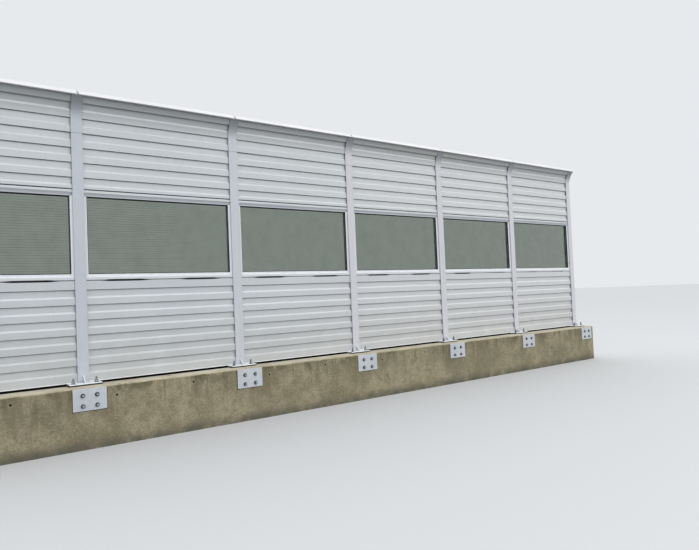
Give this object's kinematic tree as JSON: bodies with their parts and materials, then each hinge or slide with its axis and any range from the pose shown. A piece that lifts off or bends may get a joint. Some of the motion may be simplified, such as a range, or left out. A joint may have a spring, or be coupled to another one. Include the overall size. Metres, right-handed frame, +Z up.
{
  "type": "highway noise barrier",
  "caption": "Roadside noise barrier: steel posts on a concrete parapet hold ribbed metal panels, framed clear windows and a crest that curves over the road.",
  "frame": {"origin": "on the ground, in the middle of the parapet's footprint", "axes": "+X along the barrier, -Y towards the road, +Z up"},
  "size_m": [12.5, 0.654, 4.1072],
  "materials": {
    "concrete": "matt, weathered",
    "painted_steel": "satin paint",
    "panel_sheet": "satin paint",
    "cap_sheet": "satin paint",
    "window_frame": "powder coated, satin",
    "clear_pane": "clear, slightly hazy",
    "gasket_rubber": "matt black"
  },
  "bodies": {
    "root": {"parapet": "concrete", "base_plates": "painted_steel", "clamp_plates": "painted_steel", "post_1": "painted_steel", "post_2": "painted_steel", "post_3": "painted_steel", "post_4": "painted_steel", "post_5": "painted_steel", "post_6": "painted_steel", "post_7": "painted_steel", "lower_panel_1": "panel_sheet", "window_frame_1": "window_frame", "window_pane_1": "clear_pane", "upper_panel_1": "panel_sheet", "crest_panel_1": "panel_sheet", "lower_panel_2": "panel_sheet", "window_frame_2": "window_frame", "window_pane_2": "clear_pane", "upper_panel_2": "panel_sheet", "crest_panel_2": "panel_sheet", "lower_panel_3": "panel_sheet", "window_frame_3": "window_frame", "window_pane_3": "clear_pane", "upper_panel_3": "panel_sheet", "crest_panel_3": "panel_sheet", "lower_panel_4": "panel_sheet", "window_frame_4": "window_frame", "window_pane_4": "clear_pane", "upper_panel_4": "panel_sheet", "crest_panel_4": "panel_sheet", "lower_panel_5": "panel_sheet", "window_frame_5": "window_frame", "window_pane_5": "clear_pane", "upper_panel_5": "panel_sheet", "crest_panel_5": "panel_sheet", "lower_panel_6": "panel_sheet", "window_frame_6": "window_frame", "window_pane_6": "clear_pane", "upper_panel_6": "panel_sheet", "crest_panel_6": "panel_sheet", "bedding_mortar": "concrete", "foot_seals": "gasket_rubber", "pane_gaskets": "gasket_rubber", "crest_cap": "cap_sheet"}
  },
  "joints": []
}
